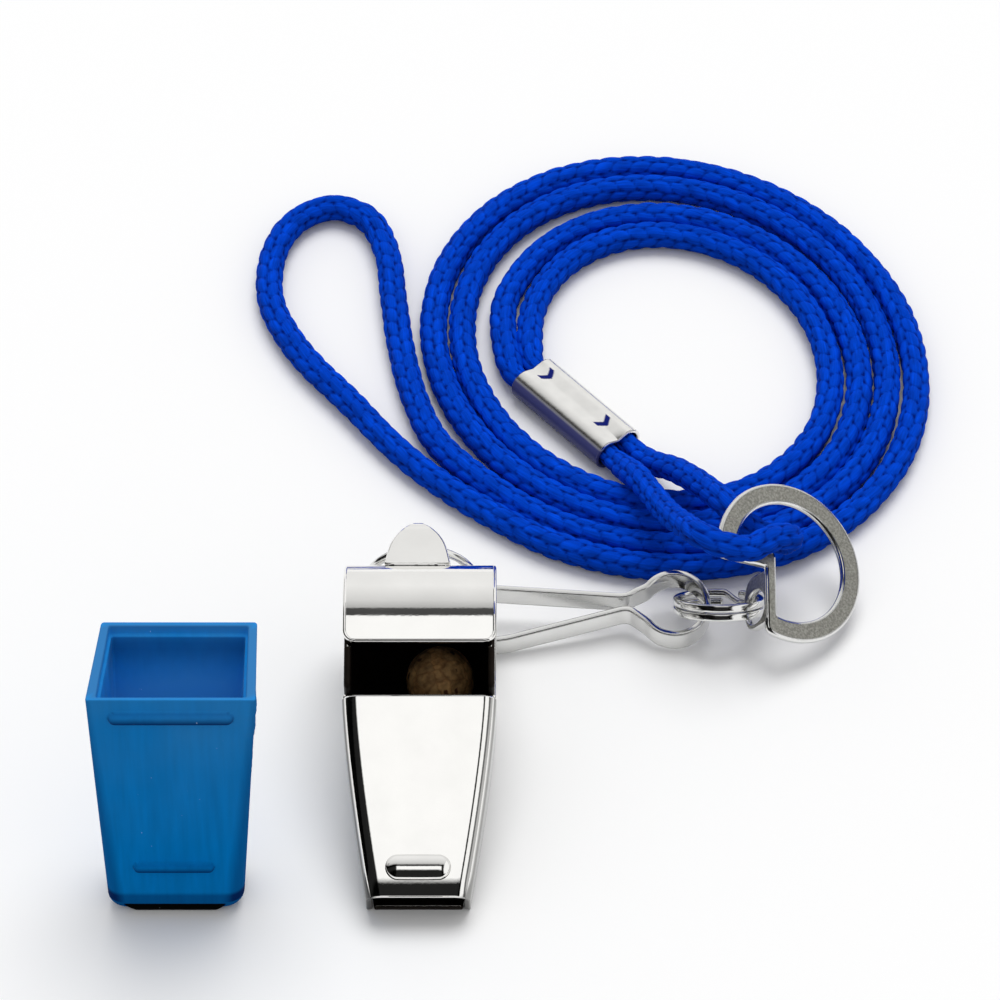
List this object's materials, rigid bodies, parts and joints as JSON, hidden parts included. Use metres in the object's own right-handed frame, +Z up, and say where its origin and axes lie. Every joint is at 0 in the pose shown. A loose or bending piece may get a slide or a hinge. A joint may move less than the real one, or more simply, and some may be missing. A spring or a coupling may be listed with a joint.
{
  "type": "pea whistle with lanyard",
  "caption": "Plated pea whistle with a cork pea, on a blue braided lanyard joined by a wire ring, spring clip, split ring and flat ring, with a loose blue rubber mouth cap beside it.",
  "frame": {"origin": "on the table, at the middle of the plan box round the whistle, its cap and the metal chain", "axes": "+X from the cap past the whistle to the flat ring, along the barrel axis; +Y from the mouth to the lanyard; +Z up from the table"},
  "size_m": [0.1111, 0.1442, 0.0377],
  "materials": {
    "nickel_plate": "bright nickel plate over sheet brass",
    "steel_wire": "bright plated spring steel",
    "satin_steel": "speckled satin plate, bright edges",
    "soft_alloy": "pale satin",
    "cork": "matt cork",
    "braided_cord": "shiny braided polyester",
    "rubber": "smooth semi-matt moulded rubber"
  },
  "bodies": {
    "whistle": {"barrel_wrap": "nickel_plate", "left_cheek": "nickel_plate", "right_cheek": "nickel_plate", "mouthpiece_channel": "nickel_plate", "mouthpiece_floor": "nickel_plate", "ring_lug": "nickel_plate"},
    "pea": {"cork_pea": "cork"},
    "ring": {"whistle_ring": "steel_wire"},
    "clip": {"lanyard_clip": "steel_wire"},
    "split_ring": {"small_split_ring": "steel_wire"},
    "flat_ring": {"lanyard_ring": "satin_steel"},
    "lanyard": {"cord_crimp": "soft_alloy", "neck_cord": "braided_cord", "ring_loop_cord": "braided_cord"},
    "cap": {"mouth_cap": "rubber"}
  },
  "joints": [
    {"name": "pea_roll", "type": "hinge", "parent": "whistle", "child": "pea", "pos_m": [-0.00902, 0.00596, 0.0105], "axis": [1, 0, 0], "continuous": true},
    {"name": "ring_swing", "type": "hinge", "parent": "whistle", "child": "ring", "pos_m": [-0.00902, 0.01835, 0.0159], "axis": [1, 0, 0], "range_deg": [0, 90]},
    {"name": "clip_swing", "type": "hinge", "parent": "ring", "child": "clip", "pos_m": [-0.00902, 0.01965, 0.0012], "axis": [0, 0, 1], "range_deg": [0, 30]},
    {"name": "split_tilt", "type": "hinge", "parent": "clip", "child": "split_ring", "pos_m": [0.02698, 0.01928, 0.0043], "axis": [0, 0.8192, -0.5736], "range_deg": [0, 20]},
    {"name": "flat_tilt", "type": "hinge", "parent": "split_ring", "child": "flat_ring", "pos_m": [0.03557, 0.01696, 0.00592], "axis": [0.5, 0.7094, -0.4967], "range_deg": [0, 50]},
    {"name": "lanyard_swing", "type": "hinge", "parent": "flat_ring", "child": "lanyard", "pos_m": [0.03993, 0.02235, 0.00912], "axis": [0.4999, -0.3249, 0.8028], "range_deg": [0, 8]},
    {"name": "cap_lift", "type": "slide", "parent": "whistle", "child": "cap", "axis": [0, 0, 1], "range_m": [0, 0.06]}
  ]
}
